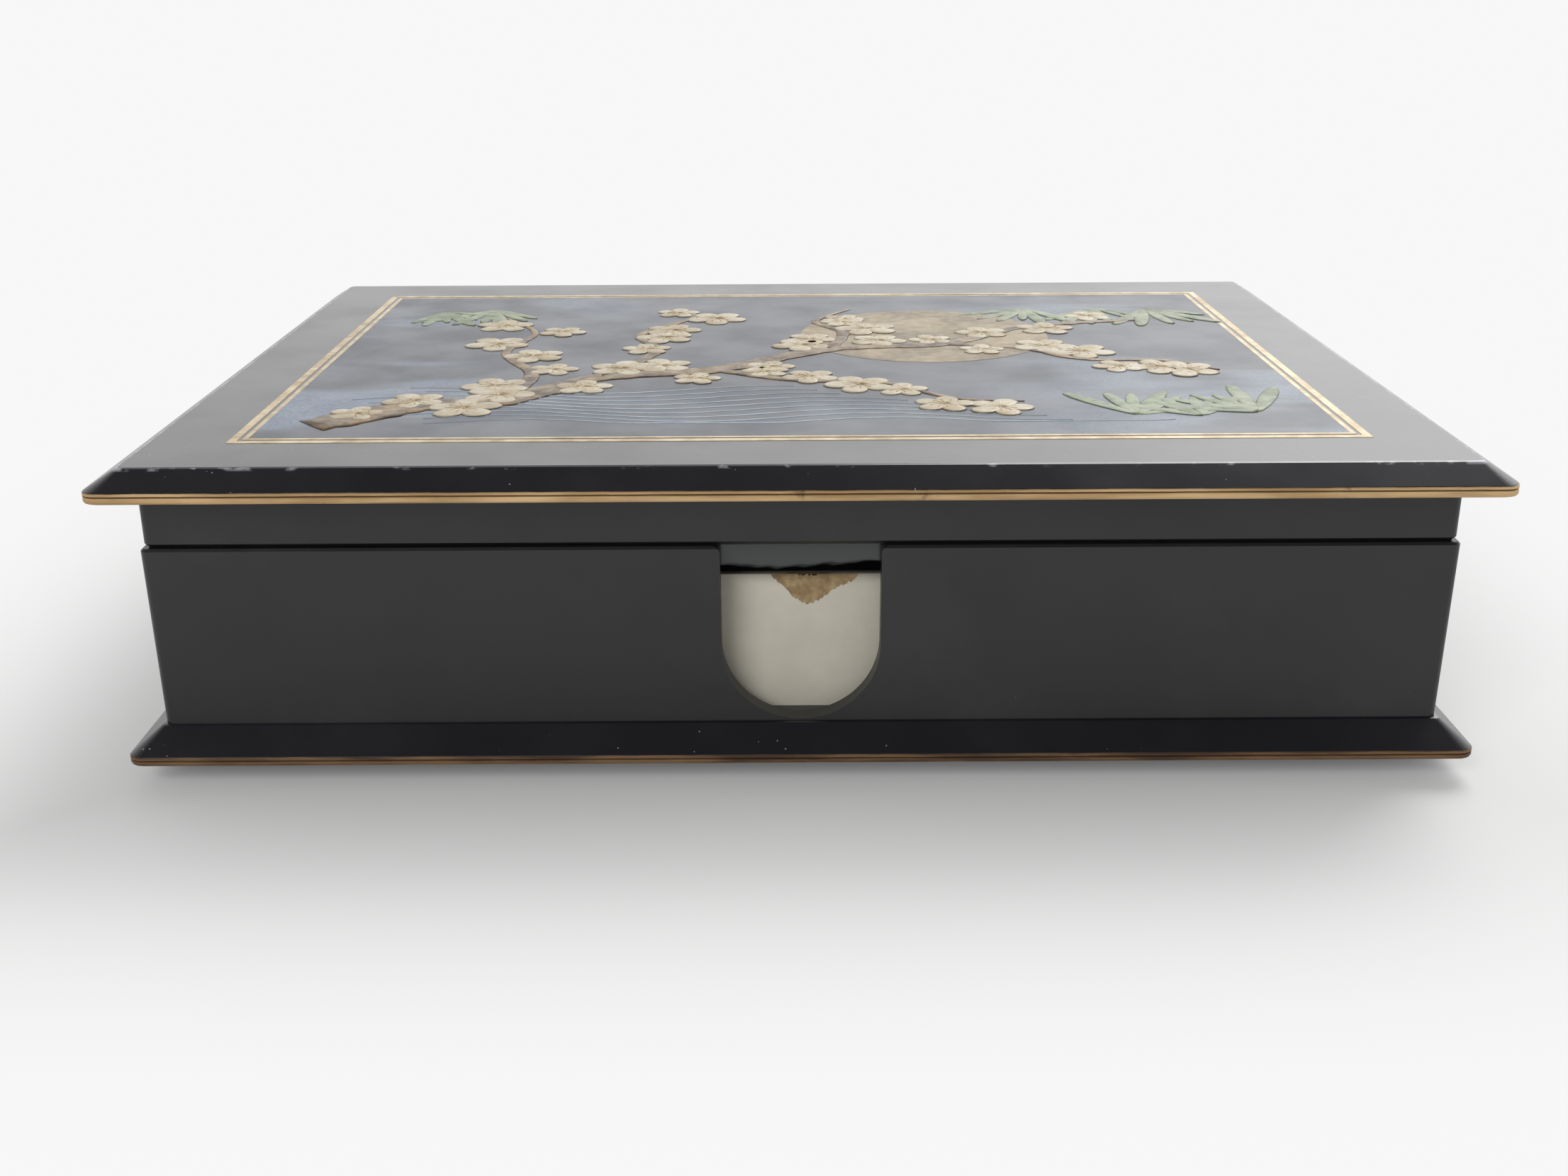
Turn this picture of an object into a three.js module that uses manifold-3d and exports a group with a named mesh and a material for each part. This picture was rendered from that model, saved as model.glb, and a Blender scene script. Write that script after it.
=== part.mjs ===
// A lacquered note box: a tray with a finger notch in its front wall, a lid that lifts off, and the
// pad of note paper that it holds. Sizes are in millimetres. +Z is up, the notched front faces -Y,
// and the origin is the middle of the footprint, on the surface that the box stands on.

import * as THREE from 'three';
import { mergeVertices } from 'three/addons/utils/BufferGeometryUtils.js';
import Module from 'manifold-3d';

// The pad of note paper that the box is made round: seven by five inches.
const SHEET_LENGTH = 177.8;
const SHEET_WIDTH = 127;
const SHEETS_HEIGHT = 20.4;
const BACKING_THICKNESS = 0.9;
const BINDING_THICKNESS = 0.35;
const BINDING_RETURN = 9; // how far the binding strip folds over the top and under the backing
const PAD_CLEARANCE = 2.4; // all round, at the floor

// The walls of the tray, which open upwards by their draft.
const WALL_THICKNESS = 3;
const WALL_HEIGHT = 27.3;
const WALL_DRAFT_DEGREES = 0.5;
const WALL_OUTER_RADIUS = 1.2;
const WALL_INNER_RADIUS = 1.6;
const WALL_TOP_CHAMFER = 0.35;
const TONGUE_THICKNESS = 1.4;
const TONGUE_DEPTH = 0.9;

// The finger notch in the middle of the front wall, which ends just above the floor.
const NOTCH_WIDTH = 23.2;
const NOTCH_SILL = 0.3;
const NOTCH_MOUTH_RADIUS = 1.1;

// The base panel, whose bevelled edge stands out all round the walls.
const BASE_THICKNESS = 4.8;
const BASE_LEDGE = 0.3; // flat margin between the wall's foot and the bevel
const BASE_SPREAD = 4.7; // from the wall's foot to the outer edge
const BASE_BAND_HEIGHT = 1.45;

// The lid panel and its frames.
const LID_THICKNESS = 4.2;
const LID_OVERHANG = 5.3; // from the top of the wall to the outer edge
const LID_BEVEL_RUN = 4.2;
const LID_BAND_HEIGHT = 1.7;
const COLLAR_HEIGHT = 8.3;
const COLLAR_SETBACK = 0.5; // behind the wall's outer face
const COLLAR_SHADOW_CHAMFER = 0.65;
const INNER_RIM_THICKNESS = 2;
const INNER_RIM_REACH = 5.6; // below the top of the wall
const INNER_RIM_NOSE = 0.7; // radius of its lower outer corner
const LID_RUNNING_CLEARANCE = 0.4; // between the inner rim and the wall
const GLUE_LINE = 0.15;
const RIM_TONGUE_DEPTH = 0.9;

// The gilt edge of both panels: a wide band, a groove and a narrow bead.
const BEAD_HEIGHT = 0.5;
const GROOVE_WIDTH = 0.24;
const GROOVE_DEPTH = 0.22;
const EDGE_ROUND = 0.35;
const EDGE_PLAN_RADIUS = 2.4;
const TOP_PLAN_RADIUS = 0.8;
const ARRIS_ROUND = 0.12; // the softened corner between bevel and flat

// The four felt feet, seated in sockets in the base.
const FOOT_RADIUS = 6;
const FOOT_STAND = 3.5; // height of the base above the table
const FOOT_SOCKET_DEPTH = 0.8;
const FOOT_SOCKET_CLEARANCE = 0.2;
const FOOT_CHAMFER = 0.5;
const FOOT_INSET = 18; // from the base's outer edge to the foot's centre

// How finely arcs are divided.
const PLAN_CORNER_STEPS = 6;
const NOTCH_STEPS = 28;
const FOOT_STEPS = 32;
const NOSE_STEPS = 4;
const MERGE_TOLERANCE = 1e-4;
const OVERCUT = 1; // how far a cutter runs past what it cuts

// Heights.
const baseBottomZ = FOOT_STAND;
const floorZ = baseBottomZ + BASE_THICKNESS;
const wallTopZ = floorZ + WALL_HEIGHT;
const lidUndersideZ = wallTopZ + COLLAR_HEIGHT;

// Plans: each is the width along X and the depth along Y.
const draftGain = 2 * WALL_HEIGHT * Math.tan(THREE.MathUtils.degToRad(WALL_DRAFT_DEGREES));
const cavityFoot = grow({ width: SHEET_LENGTH, depth: SHEET_WIDTH }, PAD_CLEARANCE);
const cavityTop = grow(cavityFoot, draftGain / 2);
const wallFoot = grow(cavityFoot, WALL_THICKNESS);
const wallTop = grow(cavityTop, WALL_THICKNESS);
const baseOuter = grow(wallFoot, BASE_SPREAD);
const lidOuter = grow(wallTop, LID_OVERHANG);
const rimOuter = grow(cavityTop, -LID_RUNNING_CLEARANCE);
const rimInner = grow(rimOuter, -INNER_RIM_THICKNESS);
const collarOuter = grow(wallTop, -COLLAR_SETBACK);
const collarInner = grow(rimOuter, GLUE_LINE);
const tongueMiddle = grow(wallFoot, -WALL_THICKNESS / 2);
const tongueOuter = grow(tongueMiddle, TONGUE_THICKNESS / 2);
const tongueInner = grow(tongueMiddle, -TONGUE_THICKNESS / 2);

const wasm = await Module();
wasm.setup();

// A plan that stands out by a margin on all four sides.
function grow(plan, margin) {
  return { width: plan.width + 2 * margin, depth: plan.depth + 2 * margin };
}

// A level of a loft: a plan with rounded corners at a height.
function level(plan, radius, z) {
  return { ...plan, radius, z };
}

// The points of a rounded rectangle, anticlockwise from the right-hand end of its front edge.
function ringPoints({ width, depth, radius, z }) {
  const centres = [[1, -1], [1, 1], [-1, 1], [-1, -1]];
  const points = [];
  centres.forEach(([sideX, sideY], corner) => {
    const centreX = sideX * (width / 2 - radius);
    const centreY = sideY * (depth / 2 - radius);
    for (let step = 0; step <= PLAN_CORNER_STEPS; step += 1) {
      const angle = (Math.PI / 2) * (corner - 1 + step / PLAN_CORNER_STEPS);
      points.push([centreX + radius * Math.cos(angle), centreY + radius * Math.sin(angle), z]);
    }
  });
  return points;
}

// A closed solid through a stack of levels, lowest first, capped at both ends.
function loft(levels) {
  const rings = levels.map(ringPoints);
  const count = rings[0].length;
  const bottomCentre = rings.length * count;
  const topCentre = bottomCentre + 1;
  const positions = [...rings.flat(), [0, 0, levels[0].z], [0, 0, levels.at(-1).z]].flat();
  const index = [];
  for (let i = 0; i < count; i += 1) {
    const next = (i + 1) % count;
    for (let ring = 0; ring < rings.length - 1; ring += 1) {
      const low = ring * count;
      const high = low + count;
      index.push(low + i, low + next, high + next, low + i, high + next, high + i);
    }
    const last = (rings.length - 1) * count;
    index.push(bottomCentre, next, i, topCentre, last + i, last + next);
  }
  const geometry = new THREE.BufferGeometry();
  geometry.setAttribute('position', new THREE.Float32BufferAttribute(positions, 3));
  geometry.setIndex(index);
  return geometry;
}

function toSolid(geometry) {
  const bare = geometry.clone();
  bare.deleteAttribute('normal');
  bare.deleteAttribute('uv');
  const merged = mergeVertices(bare, MERGE_TOLERANCE);
  return new wasm.Manifold(new wasm.Mesh({
    numProp: 3,
    vertProperties: merged.attributes.position.array,
    triVerts: new Uint32Array(merged.index.array),
  }));
}

function toGeometry(solid) {
  const mesh = solid.getMesh();
  const geometry = new THREE.BufferGeometry();
  geometry.setAttribute('position', new THREE.BufferAttribute(mesh.vertProperties, 3));
  geometry.setIndex(new THREE.BufferAttribute(mesh.triVerts, 1));
  geometry.computeVertexNormals();
  return geometry;
}

// An upright prism with rounded corners.
function prism(plan, radius, bottomZ, topZ) {
  return toSolid(loft([level(plan, radius, bottomZ), level(plan, radius, topZ)]));
}

// An upright rectangular ring, square in section.
function ringPrism(outer, inner, radius, bottomZ, topZ) {
  return prism(outer, radius, bottomZ, topZ)
    .subtract(prism(inner, radius, bottomZ - OVERCUT, topZ + OVERCUT));
}

// The slab that lid and base share: from its underside up come the round lower arris, the wide
// band, the groove, the bead, the bevel and the flat top.
function bevelledPanel({ outer, thickness, bandHeight, bevelRun, bottomZ }) {
  const grooveTop = bandHeight - BEAD_HEIGHT;
  const bevelRise = thickness - bandHeight;
  const arrisRun = (ARRIS_ROUND * bevelRun) / bevelRise;
  const profile = [
    [EDGE_ROUND, 0],
    [EDGE_ROUND * 0.3, EDGE_ROUND * 0.3],
    [0, EDGE_ROUND],
    [0, grooveTop - GROOVE_WIDTH],
    [GROOVE_DEPTH, grooveTop - GROOVE_WIDTH / 2],
    [0, grooveTop],
    [0, bandHeight - EDGE_ROUND / 2],
    [EDGE_ROUND / 2, bandHeight],
    [bevelRun - arrisRun, thickness - ARRIS_ROUND],
    [bevelRun + arrisRun, thickness],
  ];
  return toSolid(loft(profile.map(([inset, z]) => {
    const share = Math.min(1, inset / bevelRun);
    const radius = THREE.MathUtils.lerp(EDGE_PLAN_RADIUS, TOP_PLAN_RADIUS, share);
    return level(grow(outer, -inset), radius, bottomZ + z);
  })));
}

// The places of the four feet, by name.
function footPlaces() {
  const x = baseOuter.width / 2 - FOOT_INSET;
  const y = baseOuter.depth / 2 - FOOT_INSET;
  return {
    foot_front_left: [-x, -y],
    foot_front_right: [x, -y],
    foot_back_left: [-x, y],
    foot_back_right: [x, y],
  };
}

// A round plug about the Z axis, from a profile of radius and height.
function turned(profile) {
  const points = profile.map(([radius, z]) => new THREE.Vector2(radius, z));
  return new THREE.LatheGeometry(points, FOOT_STEPS).rotateX(Math.PI / 2).scale(1, -1, 1);
}

function footGeometry() {
  const top = FOOT_STAND + FOOT_SOCKET_DEPTH;
  return turned([
    [0, top],
    [FOOT_RADIUS, top],
    [FOOT_RADIUS, FOOT_CHAMFER],
    [FOOT_RADIUS - FOOT_CHAMFER, 0],
    [0, 0],
  ]);
}

function basePanelGeometry() {
  const socketRadius = FOOT_RADIUS + FOOT_SOCKET_CLEARANCE;
  const socketTop = baseBottomZ + FOOT_SOCKET_DEPTH;
  let panel = bevelledPanel({
    outer: baseOuter,
    thickness: BASE_THICKNESS,
    bandHeight: BASE_BAND_HEIGHT,
    bevelRun: BASE_SPREAD - BASE_LEDGE,
    bottomZ: baseBottomZ,
  });
  const groove = ringPrism(
    grow(tongueOuter, GLUE_LINE),
    grow(tongueInner, -GLUE_LINE),
    WALL_OUTER_RADIUS,
    floorZ - TONGUE_DEPTH,
    floorZ + OVERCUT,
  );
  panel = panel.subtract(groove);
  for (const [x, y] of Object.values(footPlaces())) {
    const socket = turned([
      [0, socketTop],
      [socketRadius, socketTop],
      [socketRadius, baseBottomZ - OVERCUT],
      [0, baseBottomZ - OVERCUT],
    ]).translate(x, y, 0);
    panel = panel.subtract(toSolid(socket));
  }
  return toGeometry(panel);
}

// The outline of the notch in the plane of the front wall: a U with a rounded mouth.
function notchShape() {
  const half = NOTCH_WIDTH / 2;
  const mouth = NOTCH_MOUTH_RADIUS;
  const bowlZ = floorZ + NOTCH_SILL + half;
  const shape = new THREE.Shape();
  shape.moveTo(-half - mouth, wallTopZ + OVERCUT);
  shape.lineTo(-half - mouth, wallTopZ);
  shape.absarc(-half - mouth, wallTopZ - mouth, mouth, Math.PI / 2, 0, true);
  shape.lineTo(-half, bowlZ);
  shape.absarc(0, bowlZ, half, Math.PI, 2 * Math.PI, false);
  shape.lineTo(half, wallTopZ - mouth);
  shape.absarc(half + mouth, wallTopZ - mouth, mouth, Math.PI, Math.PI / 2, true);
  shape.lineTo(half + mouth, wallTopZ + OVERCUT);
  shape.closePath();
  return shape;
}

function notchCutter() {
  const depth = WALL_THICKNESS + draftGain + 2 * OVERCUT;
  const cutter = new THREE.ExtrudeGeometry(notchShape(), {
    depth,
    steps: 1,
    bevelEnabled: false,
    curveSegments: NOTCH_STEPS,
  });
  return toSolid(cutter.rotateX(Math.PI / 2).translate(0, depth - wallTop.depth / 2 - OVERCUT, 0));
}

function wallFrameGeometry() {
  const shoulderZ = wallTopZ - WALL_TOP_CHAMFER;
  const slope = (draftGain / 2) / WALL_HEIGHT;
  const wallAt = (z) => grow(wallFoot, slope * (z - floorZ));
  const cavityAt = (z) => grow(cavityFoot, slope * (z - floorZ));
  const outside = toSolid(loft([
    level(wallAt(floorZ), WALL_OUTER_RADIUS, floorZ),
    level(wallAt(shoulderZ), WALL_OUTER_RADIUS, shoulderZ),
    level(grow(wallTop, -WALL_TOP_CHAMFER), WALL_OUTER_RADIUS - WALL_TOP_CHAMFER, wallTopZ),
  ]));
  const inside = toSolid(loft([
    level(cavityAt(floorZ - OVERCUT), WALL_INNER_RADIUS, floorZ - OVERCUT),
    level(cavityAt(wallTopZ + OVERCUT), WALL_INNER_RADIUS, wallTopZ + OVERCUT),
  ]));
  const tongue = ringPrism(
    tongueOuter,
    tongueInner,
    WALL_OUTER_RADIUS,
    floorZ - TONGUE_DEPTH,
    floorZ + NOTCH_SILL / 2,
  );
  return toGeometry(outside.subtract(inside).add(tongue).subtract(notchCutter()));
}

function lidPanelGeometry() {
  const panel = bevelledPanel({
    outer: lidOuter,
    thickness: LID_THICKNESS,
    bandHeight: LID_BAND_HEIGHT,
    bevelRun: LID_BEVEL_RUN,
    bottomZ: lidUndersideZ,
  });
  const groove = ringPrism(
    grow(rimOuter, GLUE_LINE),
    grow(rimInner, -GLUE_LINE),
    WALL_INNER_RADIUS,
    lidUndersideZ - OVERCUT,
    lidUndersideZ + RIM_TONGUE_DEPTH,
  );
  return toGeometry(panel.subtract(groove));
}

// The collar stands on the wall. The chamfer along its lower edge makes the dark line at the seam.
function lidCollarGeometry() {
  const chamfer = COLLAR_SHADOW_CHAMFER;
  const outside = toSolid(loft([
    level(grow(collarOuter, -chamfer), WALL_OUTER_RADIUS - chamfer, wallTopZ),
    level(collarOuter, WALL_OUTER_RADIUS, wallTopZ + chamfer),
    level(collarOuter, WALL_OUTER_RADIUS, lidUndersideZ),
  ]));
  const inside = prism(collarInner, WALL_INNER_RADIUS, wallTopZ - OVERCUT, lidUndersideZ + OVERCUT);
  return toGeometry(outside.subtract(inside));
}

// The inner rim reaches down inside the walls and centres the lid. Its lower outer corner is round.
function lidInnerRimGeometry() {
  const bottomZ = wallTopZ - INNER_RIM_REACH;
  const topZ = lidUndersideZ + RIM_TONGUE_DEPTH;
  const nose = [];
  for (let step = 0; step <= NOSE_STEPS; step += 1) {
    const angle = (Math.PI / 2) * (step / NOSE_STEPS);
    const inset = INNER_RIM_NOSE * (1 - Math.sin(angle));
    const rise = INNER_RIM_NOSE * (1 - Math.cos(angle));
    nose.push(level(grow(rimOuter, -inset), WALL_INNER_RADIUS - inset, bottomZ + rise));
  }
  const outside = toSolid(loft([...nose, level(rimOuter, WALL_INNER_RADIUS, topZ)]));
  const inside = prism(rimInner, TOP_PLAN_RADIUS, bottomZ - OVERCUT, topZ + OVERCUT);
  return toGeometry(outside.subtract(inside));
}

// A flat rectangular piece of the pad, from its front edge backwards.
function sheetStack(width, frontY, backY, bottomZ, height) {
  return new THREE.BoxGeometry(width, backY - frontY, height)
    .translate(0, (frontY + backY) / 2, bottomZ + height / 2);
}

// The strip that binds the sheets along their front edge, folded over the top and under the back.
function bindingGeometry() {
  const outerFrontY = -SHEET_WIDTH / 2;
  const innerFrontY = outerFrontY + BINDING_THICKNESS;
  const foldY = outerFrontY + BINDING_RETURN;
  const outerTopZ = floorZ + 2 * BINDING_THICKNESS + BACKING_THICKNESS + SHEETS_HEIGHT;
  const outline = new THREE.Shape();
  outline.moveTo(outerFrontY, floorZ);
  outline.lineTo(foldY, floorZ);
  outline.lineTo(foldY, floorZ + BINDING_THICKNESS);
  outline.lineTo(innerFrontY, floorZ + BINDING_THICKNESS);
  outline.lineTo(innerFrontY, outerTopZ - BINDING_THICKNESS);
  outline.lineTo(foldY, outerTopZ - BINDING_THICKNESS);
  outline.lineTo(foldY, outerTopZ);
  outline.lineTo(outerFrontY, outerTopZ);
  outline.closePath();
  return new THREE.ExtrudeGeometry(outline, { depth: SHEET_LENGTH, steps: 1, bevelEnabled: false })
    .rotateX(Math.PI / 2)
    .rotateZ(Math.PI / 2)
    .translate(-SHEET_LENGTH / 2, 0, 0);
}

const lacquer = { color: 0x17181b, roughness: 0.3, metalness: 0 };
const felt = { color: 0x1b1a1c, roughness: 0.95, metalness: 0 };
const paper = { color: 0xe6e0d0, roughness: 0.9, metalness: 0 };
const greyBoard = { color: 0xb49a72, roughness: 0.95, metalness: 0 };

function piece(name, geometry, look) {
  const mesh = new THREE.Mesh(geometry, new THREE.MeshStandardMaterial(look));
  mesh.name = name;
  return mesh;
}

function trayPieces() {
  const tray = new THREE.Group();
  tray.add(piece('base_panel', basePanelGeometry(), lacquer));
  tray.add(piece('wall_frame', wallFrameGeometry(), lacquer));
  for (const [name, [x, y]] of Object.entries(footPlaces())) {
    const foot = piece(name, footGeometry(), felt);
    foot.position.set(x, y, 0);
    tray.add(foot);
  }
  return tray;
}

function padPieces() {
  const frontY = -SHEET_WIDTH / 2 + BINDING_THICKNESS;
  const backingZ = floorZ + BINDING_THICKNESS;
  const backing = sheetStack(SHEET_LENGTH, frontY, SHEET_WIDTH / 2, backingZ, BACKING_THICKNESS);
  const sheets = sheetStack(
    SHEET_LENGTH,
    frontY,
    SHEET_WIDTH / 2,
    backingZ + BACKING_THICKNESS,
    SHEETS_HEIGHT,
  );
  const pad = new THREE.Group();
  pad.add(piece('pad_backing_board', backing, greyBoard));
  pad.add(piece('pad_sheets', sheets, paper));
  pad.add(piece('pad_binding_strip', bindingGeometry(), paper));
  return pad;
}

function lidPieces() {
  const lid = new THREE.Group();
  lid.add(piece('lid_panel', lidPanelGeometry(), lacquer));
  lid.add(piece('lid_collar', lidCollarGeometry(), lacquer));
  lid.add(piece('lid_inner_rim', lidInnerRimGeometry(), lacquer));
  return lid;
}

const noteBox = new THREE.Group();
noteBox.add(trayPieces(), padPieces(), lidPieces());

export default noteBox;
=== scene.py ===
import math
import random

import bmesh
import bpy
from mathutils import Matrix, Vector


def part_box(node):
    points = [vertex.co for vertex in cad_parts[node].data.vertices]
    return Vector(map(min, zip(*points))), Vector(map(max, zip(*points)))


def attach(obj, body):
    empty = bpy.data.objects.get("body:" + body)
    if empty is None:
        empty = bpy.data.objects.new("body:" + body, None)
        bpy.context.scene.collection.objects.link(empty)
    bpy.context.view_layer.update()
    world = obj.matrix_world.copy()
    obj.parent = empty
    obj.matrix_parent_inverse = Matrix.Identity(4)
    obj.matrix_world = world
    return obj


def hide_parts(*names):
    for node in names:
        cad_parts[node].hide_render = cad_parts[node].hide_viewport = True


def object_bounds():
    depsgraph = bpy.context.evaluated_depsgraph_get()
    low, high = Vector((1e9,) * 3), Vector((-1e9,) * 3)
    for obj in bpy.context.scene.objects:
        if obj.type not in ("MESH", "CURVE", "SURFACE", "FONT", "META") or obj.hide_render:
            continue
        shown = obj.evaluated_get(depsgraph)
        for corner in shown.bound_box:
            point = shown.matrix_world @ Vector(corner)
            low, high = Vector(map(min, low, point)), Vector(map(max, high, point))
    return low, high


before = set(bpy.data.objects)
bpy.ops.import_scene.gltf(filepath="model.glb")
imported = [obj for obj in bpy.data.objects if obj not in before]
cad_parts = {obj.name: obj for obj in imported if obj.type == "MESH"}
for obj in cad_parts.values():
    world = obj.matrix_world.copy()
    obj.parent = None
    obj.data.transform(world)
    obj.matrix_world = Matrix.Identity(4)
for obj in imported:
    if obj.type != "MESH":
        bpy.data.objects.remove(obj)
cad_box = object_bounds()

MM = 0.001

# The camera, solved from the straight edges of the box in the photograph. Angles are in radians.
IMAGE_WIDTH_PX = 2212
FOCAL_PX = 2398.14
SENSOR_MM = 36
CAMERA_PLACE = Vector((-2.72, -298.58, 114.2)) * MM
CAMERA_PITCH = 0.354387
CAMERA_YAW = 0.001264
CAMERA_ROLL = 0.005155

# The studio, in metres and watts. A softbox has a place, a target, a width and a power, and the
# world's strength changes from one side to the other.
FLOOR_HALF = 15
FLOOR_COLOUR = (0.86, 0.86, 0.85, 1)
FLOOR_FAR_COLOUR = (0.93, 0.935, 0.93, 1)
FLOOR_FADE = (-0.03, 0.085)
WORLD_FRONT_TO_BACK = (0.32, 1.45)
WORLD_LEFT_TO_RIGHT = (0.7, 1.3)
WORLD_LEVEL_TO_OVERHEAD = (1, 0.16)
SOFTBOXES = {
    "key": ((0.7, 1.1, 1.3), (0, 0, 0), 1.0, 16),
    "fill": ((-0.7, -1.3, 0.9), (0, 0, 0.02), 0.9, 11),
}

# Colours in linear light. Shades are the darker and the lighter colour of one finish.
PANEL_BLACK = (0.006, 0.006, 0.01)
WALL_BLACK = (0.0125, 0.0125, 0.0135)
# The inner rim: a painted reflection in greenish grey above, and painted shade in near black below.
RIM_PAINTED_REFLECTION_GREY = (0.03, 0.036, 0.035)
RIM_PAINTED_SHADE_BLACK = (0.002, 0.002, 0.002)
DUST_COLOUR = (0.42, 0.42, 0.44)
# Pale scuffs and painted highlight along the lid's top arris.
SCUFF_AND_HIGHLIGHT_COLOUR = (0.3, 0.3, 0.32)
# Worn gilt, and the gilt groove's dirt and painted shade.
GILT_DIRT_AND_SHADE_COLOUR = (0.1, 0.05, 0.022)
MIST_COLOUR = (0.2, 0.25, 0.34)
LID_GILT_SHADES = ((0.4, 0.25, 0.11), (0.68, 0.47, 0.24))
# The base's gilt is the lid's gilt darkened as painted shade.
BASE_GILT_PAINTED_SHADE_COLOURS = ((0.07, 0.035, 0.017), (0.26, 0.15, 0.07))
FELT_SHADES = ((0.008, 0.007, 0.008), (0.04, 0.036, 0.04))
BOARD_SHADES = ((0.3, 0.21, 0.11), (0.42, 0.31, 0.18))
BINDING_SHADES = ((0.64, 0.605, 0.505), (0.69, 0.655, 0.55))
TORN_CORE_SHADES = ((0.3, 0.2, 0.1), (0.5, 0.37, 0.2))
SHEET_SHADES = ((0.64, 0.605, 0.515), (0.68, 0.645, 0.555))
GROUND_SHADES = ((0.055, 0.062, 0.08), (0.095, 0.105, 0.13))
GOLD_SHADES = ((0.42, 0.31, 0.16), (0.66, 0.54, 0.34))
MOON_SHADES = ((0.2, 0.15, 0.085), (0.36, 0.28, 0.16))
WATER_SHADES = ((0.3, 0.4, 0.5), (0.5, 0.58, 0.66))
BARK_SHADES = ((0.085, 0.052, 0.028), (0.32, 0.22, 0.11))
PETAL_SHADES = ((0.42, 0.33, 0.19), (0.6, 0.53, 0.4))
BAMBOO_SHADES = ((0.16, 0.2, 0.11), (0.34, 0.38, 0.24))

# The picture's ground on the lid, its double gold frame and the heights of its layers.
TOP_INSET = 4.2 * MM
FRAME_MARGIN_X = 11.6 * MM
FRAME_MARGIN_Y = 12.5 * MM
OUTER_LINE = 1.25 * MM
LINE_GAP = 0.6 * MM
INNER_LINE = 0.75 * MM
LINE_HEIGHT = 0.05 * MM
PANEL_HEIGHT = 0.03 * MM
RELIEF = 0.14 * MM
MOON_RELIEF = RELIEF * 0.25
WATER_RELIEF = RELIEF * 0.45
BRANCH_RAISE = RELIEF * 0.2
BLOSSOM_RAISE = RELIEF * 0.3
PETAL_RELIEF = RELIEF * 1.1
STAMEN_RELIEF = RELIEF * 0.6
STAMEN_TIP_RELIEF = RELIEF * 0.7
BAMBOO_RELIEF = RELIEF * 0.8
PETAL_STEP = 0.012 * MM

# The picture's motifs, in millimetres from the middle of the lid, with +Y away from the front. A
# spray has a place and a heading in radians.
DESIGN_SEED = 23
MOON_CENTRE = (24, 16)
MOON_RADIUS = 23
MOON_SIDES = 96
TRUNK = ((-74, -48), (-60, -36), (-47, -33), (-33, -17), (-14, -12), (6, 4), (27, 8), (44, 23), (66, 29))
TWIGS = (
    ((-47, -33), (-45, -15), (-52, 2), (-49, 19), (-56, 33)),
    ((-33, -17), (-25, 3), (-29, 17), (-20, 33), (-22, 42)),
    ((-14, -12), (0, -20), (14, -22), (25, -33), (36, -35)),
    ((6, 4), (9, 18), (4, 29), (11, 41)),
    ((27, 8), (41, 4), (50, -5), (65, -7), (72, -14)),
)
TRUNK_WIDTH = 8.6
TWIG_WIDTH = 3.0
BRANCH_TAPER = 0.78
BRANCH_KNOTS = (0.82, 1.15)
TRUNK_STEPS = 9
TWIG_STEPS = 8
BLOSSOM_FIRST = 4
BLOSSOM_EVERY = 5
BLOSSOM_ASIDE = (1.5, 5.5)
BLOSSOM_SIZE = (4.2, 6.4)
PETALS = 5
PETAL_SIDES = 14
PETAL_FULLNESS = 0.92
STAMENS = 10
STAMEN_REACH = 0.42
STAMEN_WIDTH = 0.16
STAMEN_TIP = 0.42
SPRAYS = (
    (-70, 40, -1.2), (-60, 42, -1.5), (46, 41, -1.9), (60, 41, -1.6), (70, 40, -1.3),
    (52, -44, 1.3), (62, -45, 1.7), (71, -43, 2.0),
)
SPRAY_LEAVES = 6
SPRAY_FAN = 0.32
SPRAY_WANDER = 0.08
SPRAY_LEAF_LENGTH = (11, 19)
SPRAY_LEAF_SLIMNESS = 0.2
WATER_ROWS = 9
WATER_STEPS = 60
WATER_LEFT = (-72, -56)
WATER_RIGHT = (48, 58)
WATER_SHORTENING = 7
WATER_FOOT = -47
WATER_LOWEST = -47.5
WATER_ROW_SPACING = 2.6
WATER_ROW_TURN = 0.25
WATER_WAVE_HEIGHT = 2.3
WATER_WAVE_STRETCH = 9
WATER_WIDTH = 0.42
WATER_END_WIDTH = 0.06

# Sections of the raised lines and drops, as shares of their half width and of their height.
RIBBON_SECTION = ((-1, 0), (-0.72, 0.75), (0, 1), (0.72, 0.75), (1, 0))
PETAL_SECTION = ((1, 0), (0.82, 0.75), (0.45, 1))

# The gilt edges, measured up from the underside of each panel, and the inner rim's painted shade line.
LID_GILT = 1.7 * MM
BASE_GILT = 1.45 * MM
GILT_BEAD = 0.5 * MM
RIM_PAINTED_SHADE_LINE = 1.75 * MM

# The pad: leaves of paper behind a binding strip that is torn at the notch. Each point of the tear
# is a place along the strip and a drop below its top, in millimetres.
STRIP_THICKNESS = 0.35 * MM
STRIP_SEED = 5
TEAR = [(9.3, 0), (7.6, 2.0), (6.6, 2.4), (5.2, 3.2), (4.1, 3.9), (2.7, 5.1), (1.3, 5.6),
        (0.1, 5.2), (-1.1, 4.3), (-2.5, 2.9), (-3.9, 1.6), (-5.2, 0)]
TEAR_STEPS = 5
TEAR_ROUGHNESS = 0.22
CORE_TEAR_SHARE = 0.2
LEAF_SEED = 11
LEAF_THICKNESS = 0.51 * MM
LEAF_FILL = 0.82
LEAF_DRIFT = 0.22 * MM

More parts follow.
